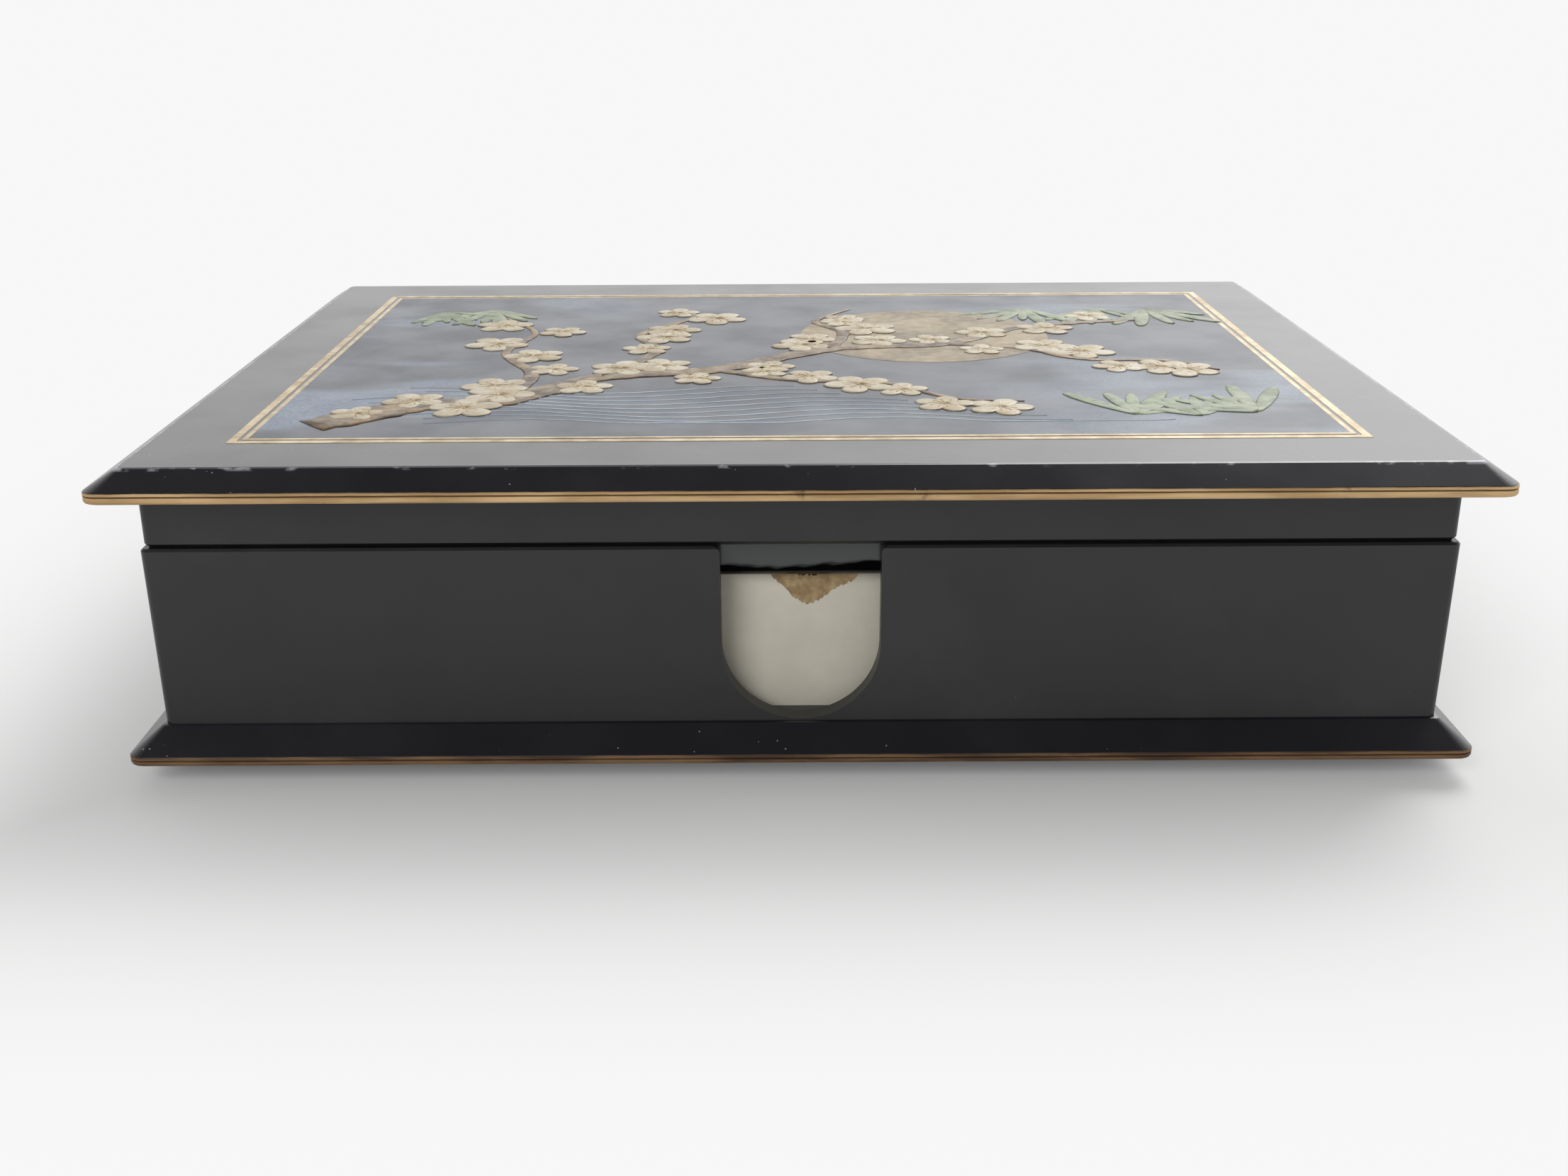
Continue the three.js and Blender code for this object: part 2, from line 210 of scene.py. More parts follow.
# The bite out of the top leaves at the tear, which gets wider and deeper towards the top.
BITE_HEIGHT = 6.2 * MM
BITE_MIDDLE = 1.6 * MM
BITE_WANDER = 0.5 * MM
BITE_HALF_WIDTH = 2.4 * MM
BITE_WIDENING = 4.4 * MM
BITE_DEPTH = 1.6 * MM
BITE_LEAST_SHARE = 0.45
BITE_ROUGHNESS = (0.7, 1.2)
BITE_POINTS = (-1, -0.55, 0, 0.5, 1)

# The sockets of Blender's Mix node that hold its two colours, and the one that gives the blend.
MIX_A = 6
MIX_B = 7
MIX_BLEND = 2


def mm(*values):
    """A vector given in millimetres."""
    return Vector([value * MM for value in values])


def join_nodes(tree, source, target):
    tree.links.new(source, target)


def new_material(name):
    """A material, with its node tree and its main shader."""
    material = bpy.data.materials.new(name)
    material.use_nodes = True
    tree = material.node_tree
    return material, tree, tree.nodes["Principled BSDF"]


def object_coordinates(tree):
    return tree.nodes.new("ShaderNodeTexCoord").outputs["Object"]


def noise(tree, scale, detail=4.0, stretch=(1, 1, 1)):
    """Noise in object space, finer along an axis that is stretched more."""
    mapping = tree.nodes.new("ShaderNodeMapping")
    mapping.inputs["Scale"].default_value = stretch
    join_nodes(tree, object_coordinates(tree), mapping.inputs["Vector"])
    texture = tree.nodes.new("ShaderNodeTexNoise")
    texture.inputs["Scale"].default_value = scale
    texture.inputs["Detail"].default_value = detail
    texture.inputs["Roughness"].default_value = 0.55
    join_nodes(tree, mapping.outputs["Vector"], texture.inputs["Vector"])
    return texture.outputs["Fac"]


def spread(tree, value, low, high, out_low=0.0, out_high=1.0):
    """Maps a value smoothly from one range to another, clamped."""
    node = tree.nodes.new("ShaderNodeMapRange")
    node.interpolation_type = "SMOOTHSTEP"
    node.inputs["From Min"].default_value = low
    node.inputs["From Max"].default_value = high
    node.inputs["To Min"].default_value = out_low
    node.inputs["To Max"].default_value = out_high
    join_nodes(tree, value, node.inputs["Value"])
    return node.outputs["Result"]


def maths(tree, operation, first, second=0):
    """A math node over numbers, or sockets, or one of each."""
    node = tree.nodes.new("ShaderNodeMath")
    node.operation = operation
    for socket, value in zip(node.inputs, (first, second)):
        if isinstance(value, (int, float)):
            socket.default_value = value
        else:
            join_nodes(tree, value, socket)
    return node.outputs[0]


def mix_colour(tree, factor, first, second):
    """Blends two colours, each of them a tuple or a socket."""
    node = tree.nodes.new("ShaderNodeMix")
    node.data_type = "RGBA"
    join_nodes(tree, factor, node.inputs["Factor"])
    for socket, value in zip((node.inputs[MIX_A], node.inputs[MIX_B]), (first, second)):
        if isinstance(value, tuple):
            socket.default_value = (*value, 1)
        else:
            join_nodes(tree, value, socket)
    return node.outputs[MIX_BLEND]


def bump(tree, shader, height, distance):
    """Shades a surface as if a pattern stood out of it by a distance in metres."""
    node = tree.nodes.new("ShaderNodeBump")
    node.inputs["Strength"].default_value = 1
    node.inputs["Distance"].default_value = distance
    join_nodes(tree, height, node.inputs["Height"])
    join_nodes(tree, node.outputs["Normal"], shader.inputs["Normal"])


def axis_value(tree, axis):
    """One coordinate of a point in object space, in metres."""
    split = tree.nodes.new("ShaderNodeSeparateXYZ")
    join_nodes(tree, object_coordinates(tree), split.inputs["Vector"])
    return split.outputs[axis]


def centred_noise(tree, scale, detail, reach):
    """Noise about zero, for pushing an edge up and down by a length."""
    return maths(tree, "MULTIPLY", maths(tree, "SUBTRACT", noise(tree, scale, detail), 0.5), reach)


def lacquer(name, colour, rough, smudge, gloss, dust=0.79):
    """Satin black lacquer with faint smudges, sparse white dust and a slightly uneven surface."""
    material, tree, shader = new_material(name)
    smudges = spread(tree, noise(tree, 38, 5), 0.5, 0.75)
    specks = spread(tree, noise(tree, 1500, 1), dust, dust + 0.03)
    pale = tuple(channel + 0.02 for channel in colour)
    tinted = mix_colour(tree, maths(tree, "MULTIPLY", smudges, smudge * 4), colour, pale)
    dusty = mix_colour(tree, specks, tinted, DUST_COLOUR)
    join_nodes(tree, dusty, shader.inputs["Base Color"])
    roughness = spread(tree, noise(tree, 60, 3), 0.3, 0.8, rough, rough + smudge)
    join_nodes(tree, roughness, shader.inputs["Roughness"])
    shader.inputs["Specular IOR Level"].default_value = gloss
    bump(tree, shader, noise(tree, 700, 3), 0.012 * MM)
    return material


def gilded_panel(name, underside, band, rough, gilt_shades):
    """Lacquer whose lowest band is brushed gilt, worn in places and darkened in its groove with dirt and
    painted shade.
    """
    material = lacquer(name, PANEL_BLACK, rough, smudge=0.06, gloss=0.95)
    tree = material.node_tree
    shader = tree.nodes["Principled BSDF"]
    base_colour = shader.inputs["Base Color"].links[0].from_socket
    roughness = shader.inputs["Roughness"].links[0].from_socket
    height = axis_value(tree, "Z")
    level = maths(tree, "ADD", height, centred_noise(tree, 300, 4, 0.16 * MM))
    gilt_top = underside + band
    below_top = spread(tree, level, gilt_top - 0.12 * MM, gilt_top - 0.04 * MM, 1, 0)
    above_underside = spread(tree, height, underside + 0.06 * MM, underside + 0.12 * MM)
    gilt = maths(tree, "MULTIPLY", below_top, above_underside)
    # The groove is darkened with dirt and painted shade.
    groove = gilt_top - GILT_BEAD
    above_band = spread(tree, level, groove - 0.16 * MM, groove - 0.1 * MM)
    below_bead = spread(tree, level, groove, groove + 0.06 * MM, 1, 0)
    groove_dirt_and_shade = maths(tree, "MULTIPLY", above_band, below_bead)
    brushed = noise(tree, 260, 5, (0.25, 0.25, 2.5))
    worn = spread(tree, noise(tree, 170, 6), 0.6, 0.72)
    gold = mix_colour(tree, spread(tree, brushed, 0.3, 0.7), *gilt_shades)
    gold = mix_colour(tree, maths(tree, "MAXIMUM", worn, groove_dirt_and_shade), gold, GILT_DIRT_AND_SHADE_COLOUR)
    join_nodes(tree, mix_colour(tree, gilt, base_colour, gold), shader.inputs["Base Color"])
    rougher = maths(tree, "ADD", roughness, maths(tree, "MULTIPLY", gilt, 0.22))
    join_nodes(tree, rougher, shader.inputs["Roughness"])
    join_nodes(tree, maths(tree, "MULTIPLY", gilt, 0.65), shader.inputs["Metallic"])
    return material


def scuff_and_highlight_arris(material, top):
    """Pale scuffs and a painted highlight where the bevel meets the flat top, thickest towards its left
    and right ends.
    """
    tree = material.node_tree
    shader = tree.nodes["Principled BSDF"]
    under = shader.inputs["Base Color"].links[0].from_socket
    height = axis_value(tree, "Z")
    rising = spread(tree, height, top - 0.45 * MM, top - 0.2 * MM)
    falling = spread(tree, height, top - 0.05 * MM, top - 0.02 * MM, 1, 0)
    towards_end = spread(tree, maths(tree, "ABSOLUTE", axis_value(tree, "X")), 0.06, 0.095)
    # Scuffs and painted highlight, more of them towards the ends.
    rubbed_and_lit = maths(tree, "ADD", noise(tree, 330, 5), maths(tree, "MULTIPLY", towards_end, 0.12))
    band = maths(tree, "MULTIPLY", rising, falling)
    scuffs_and_highlight = maths(tree, "MULTIPLY", band, spread(tree, rubbed_and_lit, 0.58, 0.7))
    join_nodes(tree, mix_colour(tree, scuffs_and_highlight, under, SCUFF_AND_HIGHLIGHT_COLOUR), shader.inputs["Base Color"])
    return material


def rim_lacquer_painted_light(shade_line):
    """Glossy lacquer painted a lighter greenish grey as a reflection above a wavy line, with painted
    shade below it.
    """
    # The lighter greenish grey of this lacquer is a painted reflection.
    material = lacquer("rim_lacquer_painted_light", RIM_PAINTED_REFLECTION_GREY, rough=0.14, smudge=0.03, gloss=0.6, dust=0.86)
    tree = material.node_tree
    shader = tree.nodes["Principled BSDF"]
    painted_reflection = shader.inputs["Base Color"].links[0].from_socket
    # The wavy line between the painted reflection above and the painted shade below.
    level = maths(tree, "ADD", axis_value(tree, "Z"), centred_noise(tree, 130, 2, 2.2 * MM))
    # Below the wavy line the colour turns to painted shade.
    painted_shade = spread(tree, level, shade_line - 0.1 * MM, shade_line + 0.1 * MM, 1, 0)
    join_nodes(tree, mix_colour(tree, painted_shade, painted_reflection, RIM_PAINTED_SHADE_BLACK), shader.inputs["Base Color"])
    roll = spread(tree, level, shade_line - 2.6 * MM, shade_line + 0.25 * MM)
    bump(tree, shader, roll, 1.9 * MM)
    return material


def painted(name, shades, rough, metallic=0.0, scale=260, grain=0.03 * MM):
    """Brushed paint or paper that wanders between two colours, with a fine raised grain."""
    material, tree, shader = new_material(name)
    patches = spread(tree, noise(tree, scale, 6), 0.32, 0.68)
    join_nodes(tree, mix_colour(tree, patches, *shades), shader.inputs["Base Color"])
    roughness = spread(tree, noise(tree, 500, 2), 0.3, 0.7, rough - 0.08, rough + 0.08)
    join_nodes(tree, roughness, shader.inputs["Roughness"])
    shader.inputs["Metallic"].default_value = metallic
    bump(tree, shader, noise(tree, 1400, 4), grain)
    return material


def picture_ground():
    """The blue-grey ground of the picture, with paler mist sprayed over its left and right."""
    material, tree, shader = new_material("picture_ground")
    tone = spread(tree, noise(tree, 30, 6), 0.35, 0.7)
    base = mix_colour(tree, tone, *GROUND_SHADES)
    drift = spread(tree, noise(tree, 17, 3, (1, 2.4, 1)), 0.47, 0.62)
    aside = maths(tree, "ABSOLUTE", maths(tree, "MULTIPLY", axis_value(tree, "X"), 11.5))
    mist = maths(tree, "MULTIPLY", drift, spread(tree, aside, 0.15, 0.85))
    speckle = spread(tree, noise(tree, 1900, 2), 0.3, 0.7, 0.55, 1)
    mist = maths(tree, "MULTIPLY", mist, speckle)
    join_nodes(tree, mix_colour(tree, mist, base, MIST_COLOUR), shader.inputs["Base Color"])
    roughness = spread(tree, noise(tree, 80, 3), 0.3, 0.8, 0.34, 0.46)
    join_nodes(tree, roughness, shader.inputs["Roughness"])
    bump(tree, shader, noise(tree, 1600, 3), 0.012 * MM)
    return material


def felt():
    """Dark rough felt with a fine nap."""
    material, tree, shader = new_material("felt")
    fibres = noise(tree, 1800, 6)
    join_nodes(tree, mix_colour(tree, fibres, *FELT_SHADES), shader.inputs["Base Color"])
    shader.inputs["Roughness"].default_value = 0.95
    bump(tree, shader, fibres, 0.3 * MM)
    return material


def finished(bm, name, material, body, smooth=False):
    """Turns a bmesh into a named piece of the object, on its body and in its material slot."""
    bmesh.ops.recalc_face_normals(bm, faces=bm.faces)
    mesh = bpy.data.meshes.new(name)
    bm.to_mesh(mesh)
    bm.free()
    for polygon in mesh.polygons:
        polygon.use_smooth = smooth
    mesh.materials.append(material)
    piece = bpy.data.objects.new(name, mesh)
    bpy.context.scene.collection.objects.link(piece)
    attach(piece, body)
    return piece


def finished_design(bm, name, material, smooth=False):
    """A part of the lid's decoration, on the lid's body, in the finish it is given."""
    return finished(bm, name, material, "lid", smooth)


def extrude_outline(bm, points, offset):
    """A closed prism from a flat outline and the way it is extruded."""
    low = [bm.verts.new(point) for point in points]
    high = [bm.verts.new(Vector(point) + offset) for point in points]
    faces = [bm.faces.new(list(reversed(low))), bm.faces.new(high)]
    count = len(points)
    for i in range(count):
        after = (i + 1) % count
        bm.faces.new((low[i], low[after], high[after], high[i]))
    bm.normal_update()
    bmesh.ops.triangulate(bm, faces=faces)


def add_block(bm, low, high):
    """A box between two corners."""
    corners = [(low.x, low.y), (high.x, low.y), (high.x, high.y), (low.x, high.y)]
    extrude_outline(bm, [(x, y, low.z) for x, y in corners], Vector((0, 0, high.z - low.z)))


def add_line_frame(bm, half_x, half_y, width, low, height):
    """A flat rectangular line with mitred corners."""
    corners = [(-1, -1), (1, -1), (1, 1), (-1, 1)]
    for (ax, ay), (bx, by) in zip(corners, corners[1:] + corners[:1]):
        outer = [(ax * half_x, ay * half_y), (bx * half_x, by * half_y)]
        inner = [(bx * (half_x - width), by * (half_y - width)),
                 (ax * (half_x - width), ay * (half_y - width))]
        extrude_outline(bm, [(x, y, low) for x, y in outer + inner], Vector((0, 0, height)))


def add_ribbon(bm, path, widths, low, height):
    """A raised line with a rounded back that follows a path over the lid."""
    rings = []
    for i, point in enumerate(path):
        ahead = path[min(i + 1, len(path) - 1)] - path[max(i - 1, 0)]
        side = Vector((-ahead.y, ahead.x)).normalized() * widths[i] / 2
        rings.append([bm.verts.new((point.x + side.x * across, point.y + side.y * across,
                                    low + height * up)) for across, up in RIBBON_SECTION])
    for first, second in zip(rings, rings[1:]):
        for j in range(len(RIBBON_SECTION)):
            after = (j + 1) % len(RIBBON_SECTION)
            bm.faces.new((first[j], first[after], second[after], second[j]))
    bm.faces.new(rings[0])
    bm.faces.new(list(reversed(rings[-1])))


def add_petal(bm, centre, angle, length, width, low, height):
    """A low domed drop, narrow at the centre that it grows from."""
    along = Vector((math.cos(angle), math.sin(angle)))
    across = Vector((-along.y, along.x))
    rings = []
    for share, up in PETAL_SECTION:
        ring = []
        for i in range(PETAL_SIDES):
            turn = 2 * math.pi * i / PETAL_SIDES
            reach = 0.5 + 0.5 * math.cos(turn) * share
            half = width / 2 * math.sin(turn) * share * (0.62 + 0.38 * reach)
            place = centre + along * length * reach + across * half
            ring.append(bm.verts.new((place.x, place.y, low + height * up)))
        rings.append(ring)
    for first, second in zip(rings, rings[1:]):
        for i in range(PETAL_SIDES):
            after = (i + 1) % PETAL_SIDES
            bm.faces.new((first[i], first[after], second[after], second[i]))
    bm.faces.new(list(reversed(rings[0])))
    bm.faces.new(rings[-1])


def curve_points(controls, steps):
    """A smooth path through control points (Catmull-Rom)."""
    ends = [controls[0] * 2 - controls[1], *controls, controls[-1] * 2 - controls[-2]]
    points = []
    for a, b, c, d in zip(ends, ends[1:], ends[2:], ends[3:]):
        for step in range(steps):
            t = step / steps
            points.append(0.5 * (2 * b + (c - a) * t + (2 * a - 5 * b + 4 * c - d) * t * t
                                 + (3 * b - a - 3 * c + d) * t ** 3))
    return [*points, controls[-1]]


def set_camera():
    """The photograph's camera: its axes come from yaw, pitch and roll."""
    forward = Vector((math.sin(CAMERA_YAW) * math.cos(CAMERA_PITCH),
                      math.cos(CAMERA_YAW) * math.cos(CAMERA_PITCH), -math.sin(CAMERA_PITCH)))
    right = Vector((math.cos(CAMERA_YAW), -math.sin(CAMERA_YAW), 0))
    down = forward.cross(right)
    image_x = math.cos(CAMERA_ROLL) * right + math.sin(CAMERA_ROLL) * down
    image_y = -math.sin(CAMERA_ROLL) * right + math.cos(CAMERA_ROLL) * down
    data = bpy.data.cameras.new("camera")
    data.sensor_width = SENSOR_MM
    data.lens = FOCAL_PX * SENSOR_MM / IMAGE_WIDTH_PX
    data.clip_start = 0.01
    camera = bpy.data.objects.new("camera", data)
    turn = Matrix((image_x, -image_y, -forward)).transposed()
    camera.matrix_world = Matrix.Translation(CAMERA_PLACE) @ turn.to_4x4()
    bpy.context.scene.collection.objects.link(camera)
    bpy.context.scene.camera = camera


def floor_material():
    """Pale near the box, where it holds the shadow, and an even near-white further off."""
    material, tree, shader = new_material("floor")
    shader.inputs["Base Color"].default_value = FLOOR_COLOUR
    shader.inputs["Roughness"].default_value = 0.6
    shader.inputs["Specular IOR Level"].default_value = 0.2
    white = tree.nodes.new("ShaderNodeEmission")
    white.inputs["Color"].default_value = FLOOR_FAR_COLOUR
    _, high = cad_box
    aside = maths(tree, "SUBTRACT", maths(tree, "ABSOLUTE", axis_value(tree, "X")), high[0])
    ahead = maths(tree, "SUBTRACT", maths(tree, "ABSOLUTE", axis_value(tree, "Y")), high[1])
    far = spread(tree, maths(tree, "MAXIMUM", aside, ahead), *FLOOR_FADE)
    path = tree.nodes.new("ShaderNodeLightPath")
    seen = maths(tree, "MAXIMUM", path.outputs["Is Camera Ray"], path.outputs["Is Glossy Ray"])
    mixed = tree.nodes.new("ShaderNodeMixShader")
    join_nodes(tree, maths(tree, "MULTIPLY", far, seen), mixed.inputs["Fac"])
    join_nodes(tree, shader.outputs["BSDF"], mixed.inputs[1])
    join_nodes(tree, white.outputs["Emission"], mixed.inputs[2])
    join_nodes(tree, mixed.outputs["Shader"], tree.nodes["Material Output"].inputs["Surface"])
    return material


def make_floor():
    """A wide flat floor at the height of the feet."""
    bm = bmesh.new()
    corners = ((-1, -1), (1, -1), (1, 1), (-1, 1))
    bm.faces.new([bm.verts.new((x * FLOOR_HALF, y * FLOOR_HALF, 0)) for x, y in corners])
    mesh = bpy.data.meshes.new("floor")
    bm.to_mesh(mesh)
    bm.free()
    mesh.materials.append(floor_material())
    floor = bpy.data.objects.new("floor", mesh)
    bpy.context.scene.collection.objects.link(floor)


def make_world():
    """A studio bright behind the box and dim in front and overhead; the camera sees it as white."""
    world = bpy.data.worlds.new("studio")
    world.use_nodes = True
    bpy.context.scene.world = world
    tree = world.node_tree
    background = tree.nodes["Background"]
    split = tree.nodes.new("ShaderNodeSeparateXYZ")
    direction = tree.nodes.new("ShaderNodeTexCoord").outputs["Generated"]
    join_nodes(tree, direction, split.inputs["Vector"])
    depth = spread(tree, split.outputs["Y"], -0.2, 0.9, *WORLD_FRONT_TO_BACK)
    side = spread(tree, split.outputs["X"], -1, 1, *WORLD_LEFT_TO_RIGHT)
    overhead = spread(tree, split.outputs["Z"], 0.55, 0.95, *WORLD_LEVEL_TO_OVERHEAD)
    room = maths(tree, "MULTIPLY", maths(tree, "MULTIPLY", depth, side), overhead)
    path = tree.nodes.new("ShaderNodeLightPath")
    lit = maths(tree, "MAXIMUM", room, path.outputs["Is Camera Ray"])
    join_nodes(tree, lit, background.inputs["Strength"])
    background.inputs["Color"].default_value = (1, 1, 1, 1)


def add_softbox(name, place, target, width, watts):
    """A square lamp that faces its target."""
    data = bpy.data.lights.new(name, "AREA")
    data.size = width
    data.energy = watts
    lamp = bpy.data.objects.new(name, data)
    lamp.location = place
    lamp.rotation_euler = (Vector(target) - Vector(place)).to_track_quat("-Z", "Y").to_euler()
    bpy.context.scene.collection.objects.link(lamp)


def dress_cad_nodes():
    """Gives each CAD node that shows its own finish."""
    lid_low, lid_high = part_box("lid_panel")
    base_low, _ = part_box("base_panel")
    rim_low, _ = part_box("lid_inner_rim")
    lid = gilded_panel("lid_lacquer", lid_low.z, LID_GILT, rough=0.27, gilt_shades=LID_GILT_SHADES)
    # The base's gilt is darkened as painted shade.
    base = gilded_panel("base_lacquer_shaded_gilt", base_low.z, BASE_GILT, rough=0.3, gilt_shades=BASE_GILT_PAINTED_SHADE_COLOURS)
    wall = lacquer("wall_lacquer", WALL_BLACK, rough=0.34, smudge=0.1, gloss=0.5, dust=0.86)
    finishes = {
        "lid_panel": scuff_and_highlight_arris(lid, lid_high.z),
        "base_panel": base,
        "wall_frame": wall,
        "lid_collar": wall,
        # The inner rim carries a painted reflection and painted shade.
        "lid_inner_rim": rim_lacquer_painted_light(rim_low.z + RIM_PAINTED_SHADE_LINE),
        "pad_backing_board": painted("board", BOARD_SHADES, rough=0.9),
    }
    feet = felt()
    for name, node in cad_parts.items():
        finish = feet if name.startswith("foot") else finishes.get(name)
        if finish:
            for slot in node.material_slots:
                slot.material = finish


def tear_outline(share, rng):
    """The torn edge of the pad's front at the notch, right to left, roughened by fibres."""
    points = []
    for (x0, drop0), (x1, drop1) in zip(TEAR, TEAR[1:]):
        for step in range(TEAR_STEPS):
            t = step / TEAR_STEPS
            rough = rng.uniform(-TEAR_ROUGHNESS, TEAR_ROUGHNESS) if points else 0
            drop = (drop0 + (drop1 - drop0) * t) * share + rough * min(1, drop0 + drop1)
            points.append(((x0 + (x1 - x0) * t) * MM, max(0, drop) * MM))
    return [*points, (TEAR[-1][0] * MM, 0)]


def add_strip_layer(bm, low, high, front, tear):
    """Half the strip's thickness, across the front of the pad, with the torn edge in its top."""
    outline = [(low.x, low.z), (high.x, low.z), (high.x, high.z)]
    outline += [(x, high.z - drop) for x, drop in tear]
    outline.append((low.x, high.z))
    extrude_outline(bm, [(x, front, z) for x, z in outline], Vector((0, STRIP_THICKNESS / 2, 0)))


def add_strip_folds(bm, low, high):
    """The folds of the strip over the top of the pad, either side of the tear, and underneath."""
    back = low.y + STRIP_THICKNESS
    top = high.z - STRIP_THICKNESS
    tear_left, tear_right = TEAR[-1][0] * MM, TEAR[0][0] * MM
    add_block(bm, Vector((low.x, back, top)), Vector((tear_left, high.y, high.z)))
    add_block(bm, Vector((tear_right, back, top)), high)
    add_block(bm, Vector((low.x, back, low.z)), Vector((high.x, high.y, low.z + STRIP_THICKNESS)))


def make_binding_strip():
    """The off-white strip that binds the pad, torn through at the notch, over its tan core."""
    low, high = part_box("pad_binding_strip")
    rng = random.Random(STRIP_SEED)
    paper = painted("binding_paper", BINDING_SHADES, rough=0.85, scale=140, grain=0.05 * MM)
    core = painted("torn_paper", TORN_CORE_SHADES, rough=0.95, scale=700, grain=0.25 * MM)
    face_mesh = bmesh.new()
    add_strip_layer(face_mesh, low, high, low.y, tear_outline(1, rng))
    add_strip_folds(face_mesh, low, high)
    core_mesh = bmesh.new()
    add_strip_layer(core_mesh, low, high, low.y + STRIP_THICKNESS / 2,
                    tear_outline(CORE_TEAR_SHARE, rng))
    for bm, name, material in ((face_mesh, "pad_binding_strip_face", paper),
                               (core_mesh, "pad_binding_strip_core", core)):
        piece = finished(bm, name, material, "note_pad")
        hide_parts("pad_binding_strip")


def torn_front(bottom, low, high, rng):
    """The points of a leaf's torn front edge, left to right, or none on a leaf below the tear."""
    torn = max(0.0, 1 - (high.z - bottom) / BITE_HEIGHT)
    if not torn:
        return []
    middle = BITE_MIDDLE + rng.uniform(-BITE_WANDER, BITE_WANDER)
    half = BITE_HALF_WIDTH + BITE_WIDENING * torn
    deepest = BITE_DEPTH * (BITE_LEAST_SHARE + torn)
    points = []
    for share in BITE_POINTS:
        depth = deepest * (1 - share * share) * rng.uniform(*BITE_ROUGHNESS)
        points.append((middle + half * share, low.y + depth))
    return points


def make_leaves():
    """The block of paper as leaves that lie a little out of line, the top ones torn in front."""
    low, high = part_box("pad_sheets")
    rng = random.Random(LEAF_SEED)
    count = round((high.z - low.z) / LEAF_THICKNESS)
    step = (high.z - low.z) / count
    bm = bmesh.new()
    for i in range(count):
        left, right = low.x + rng.uniform(0, LEAF_DRIFT), high.x - rng.uniform(0, LEAF_DRIFT)
        back = high.y - rng.uniform(0, LEAF_DRIFT)
        bottom = low.z + i * step
        outline = [(right, back), (left, back), (left, low.y)]
        outline += torn_front(bottom, low, high, rng)
        outline.append((right, low.y))
        thickness = Vector((0, 0, step * LEAF_FILL))
        extrude_outline(bm, [(x, y, bottom) for x, y in outline], thickness)
    paper = painted("leaves_of_paper", SHEET_SHADES, rough=0.9, scale=900)
    piece = finished(bm, "pad_sheet_leaves", paper, "note_pad")
    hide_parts("pad_sheets")


def picture_extent():
    """Half the width and depth of the gold frame, and the height of the lid's flat top."""
    _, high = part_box("lid_panel")
    half_x = high.x - TOP_INSET - FRAME_MARGIN_X
    half_y = high.y - TOP_INSET - FRAME_MARGIN_Y
    return half_x, half_y, high.z


def make_gold_frame(gold):
    """A wide and a narrow gold line round a thin painted ground."""
    half_x, half_y, top = picture_extent()
    bm = bmesh.new()
    add_line_frame(bm, half_x, half_y, OUTER_LINE, top, LINE_HEIGHT)
    inset = OUTER_LINE + LINE_GAP
    add_line_frame(bm, half_x - inset, half_y - inset, INNER_LINE, top, LINE_HEIGHT)
    finished_design(bm, "gold_frame_lines", gold)
    ground_x = half_x - inset - INNER_LINE
    ground_y = half_y - inset - INNER_LINE
    bm = bmesh.new()
    add_block(bm, Vector((-ground_x, -ground_y, top)), Vector((ground_x, ground_y, top + PANEL_HEIGHT)))
    finished_design(bm, "picture_ground", picture_ground())


def make_moon(base, gold):
    """A large low disc of dull gold behind the branch."""
    centre = mm(*MOON_CENTRE)
    radius = MOON_RADIUS * MM
    ring = []
    for i in range(MOON_SIDES):
        angle = math.tau * i / MOON_SIDES
        ring.append((centre.x + radius * math.cos(angle), centre.y + radius * math.sin(angle), base))
    bm = bmesh.new()
    extrude_outline(bm, ring, Vector((0, 0, MOON_RELIEF)))
    finished_design(bm, "design_moon", gold)


def make_water(base, pale, rng):
    """Flowing-water lines that cross the lower half in slow waves, thin at both ends."""
    bm = bmesh.new()
    last = WATER_STEPS - 1
    for row in range(WATER_ROWS):
        start = rng.uniform(*WATER_LEFT)
        end = rng.uniform(*WATER_RIGHT) - WATER_SHORTENING * row
        middle = WATER_FOOT + WATER_ROW_SPACING * row
        path = []
        widths = []
        for i in range(WATER_STEPS):
            x = start + (end - start) * i / last
            wave = WATER_WAVE_HEIGHT * math.sin(x / WATER_WAVE_STRETCH + row * WATER_ROW_TURN)
            path.append(mm(x, max(WATER_LOWEST, middle + wave)))
            swell = math.sin(math.pi * (i + 0.6) / (WATER_STEPS + 0.2))
            widths.append((WATER_WIDTH * swell + WATER_END_WIDTH) * MM)
        add_ribbon(bm, path, widths, base, WATER_RELIEF)
    finished_design(bm, "design_water_lines", pale, True)


def make_branches(base, bark, rng):
    """A gnarled flowering branch that sweeps from the lower left to the upper right."""
    trunk = curve_points([mm(*point) for point in TRUNK], TRUNK_STEPS)
    twigs = [curve_points([mm(*point) for point in twig], TWIG_STEPS) for twig in TWIGS]
    bm = bmesh.new()
    for path, thick in [(trunk, TRUNK_WIDTH), *[(twig, TWIG_WIDTH) for twig in twigs]]:
        widths = [thick * MM * (1 - BRANCH_TAPER * i / len(path)) * rng.uniform(*BRANCH_KNOTS)
                  for i in range(len(path))]
        add_ribbon(bm, path, widths, base, RELIEF)
    finished_design(bm, "design_branch", bark, True)
    return trunk, twigs


def blossom_places(path, rng):
    """Blossoms sit beside a branch at steps along it."""
    places = []
    for i in range(BLOSSOM_FIRST, len(path) - 1, BLOSSOM_EVERY):
        ahead = (path[i + 1] - path[i]).normalized()
        side = Vector((-ahead.y, ahead.x)) * rng.choice((-1, 1))
        places.append(path[i] + side * rng.uniform(*BLOSSOM_ASIDE) * MM)
    return places


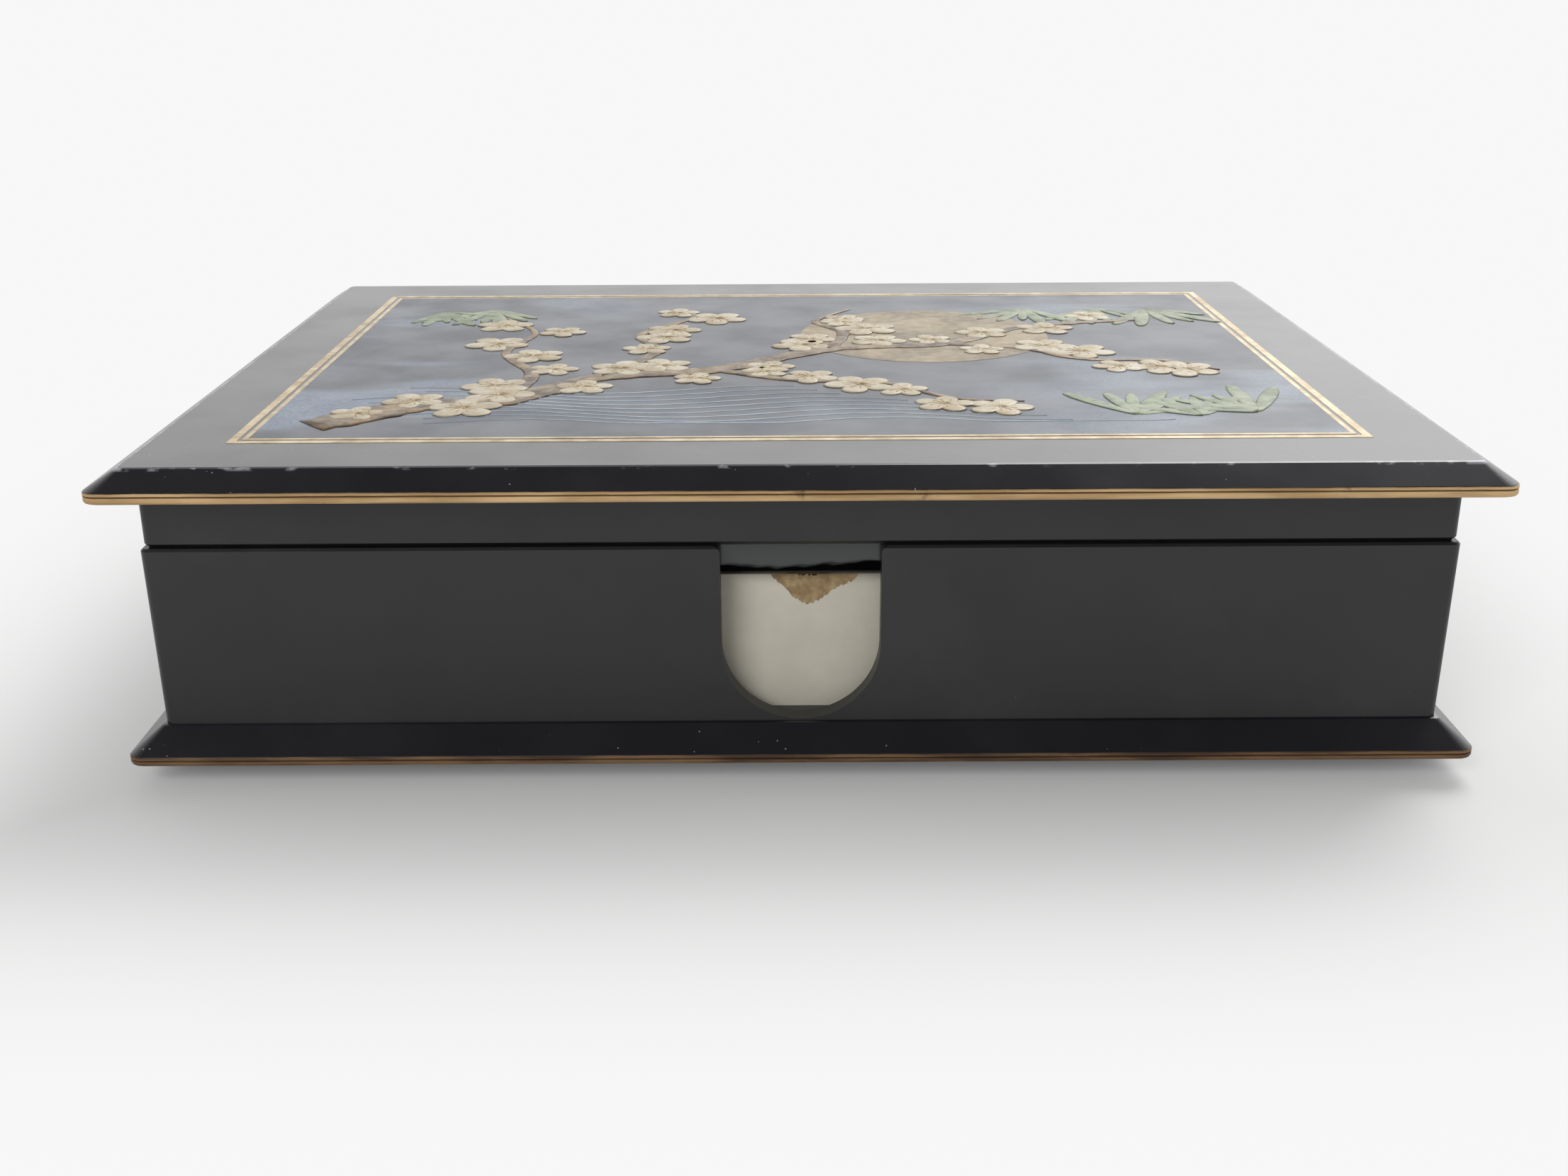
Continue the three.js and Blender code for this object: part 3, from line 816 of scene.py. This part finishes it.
def make_blossoms(base, places, petals, hearts, rng):
    """Five-petalled blossoms, each with a ring of gold stamens."""
    bm = bmesh.new()
    centres = bmesh.new()
    for place in places:
        size = rng.uniform(*BLOSSOM_SIZE) * MM
        turn = rng.uniform(0, math.tau)
        for k in range(PETALS):
            add_petal(bm, place, turn + math.tau * k / PETALS, size, size * PETAL_FULLNESS,
                      base + k * PETAL_STEP, PETAL_RELIEF)
        for k in range(STAMENS):
            angle = turn + math.tau * (k + 0.5) / STAMENS
            tip = place + Vector((math.cos(angle), math.sin(angle))) * size * STAMEN_REACH
            add_ribbon(centres, [place, (place + tip) / 2, tip], [STAMEN_WIDTH * MM] * 3,
                       base + RELIEF, STAMEN_RELIEF)
            add_petal(centres, tip, angle, STAMEN_TIP * MM, STAMEN_TIP * MM,
                      base + RELIEF, STAMEN_TIP_RELIEF)
    finished_design(bm, "design_blossoms", petals, True)
    finished_design(centres, "design_stamens", hearts, True)


def make_leaf_sprays(base, green, rng):
    """Sprays of pointed bamboo leaves, hanging from the upper edge and standing at the lower right."""
    bm = bmesh.new()
    for x, y, heading in SPRAYS:
        for k in range(SPRAY_LEAVES):
            fan = (k - (SPRAY_LEAVES - 1) / 2) * SPRAY_FAN
            angle = heading + fan + rng.uniform(-SPRAY_WANDER, SPRAY_WANDER)
            length = rng.uniform(*SPRAY_LEAF_LENGTH) * MM
            add_petal(bm, mm(x, y), angle, length, length * SPRAY_LEAF_SLIMNESS,
                      base + k * PETAL_STEP, BAMBOO_RELIEF)
    finished_design(bm, "design_bamboo_leaves", green, True)


def make_picture():
    """A flowering branch before a moon, over water and between bamboo leaves, in a gold frame."""
    rng = random.Random(DESIGN_SEED)
    gold = painted("gold_paint", GOLD_SHADES, rough=0.4, metallic=0.45)
    moon = painted("moon_paint", MOON_SHADES, rough=0.45, metallic=0.25, scale=90)
    water = painted("water_paint", WATER_SHADES, rough=0.4)
    bark = painted("bark_paint", BARK_SHADES, rough=0.42, metallic=0.2, scale=300, grain=0.12 * MM)
    petals = painted("petal_paint", PETAL_SHADES, rough=0.42, metallic=0.1)
    leaves = painted("leaf_paint", BAMBOO_SHADES, rough=0.45)
    make_gold_frame(gold)
    base = picture_extent()[2] + PANEL_HEIGHT
    make_moon(base, moon)
    make_water(base, water, rng)
    trunk, twigs = make_branches(base + BRANCH_RAISE, bark, rng)
    places = [place for path in (trunk, *twigs) for place in blossom_places(path, rng)]
    make_blossoms(base + BLOSSOM_RAISE, places, petals, gold, rng)
    make_leaf_sprays(base, leaves, rng)


set_camera()
make_floor()
make_world()
for box_name, box_values in SOFTBOXES.items():
    add_softbox(box_name, *box_values)
dress_cad_nodes()
make_binding_strip()
make_leaves()
make_picture()

bpy.context.scene.view_settings.view_transform = "Standard"
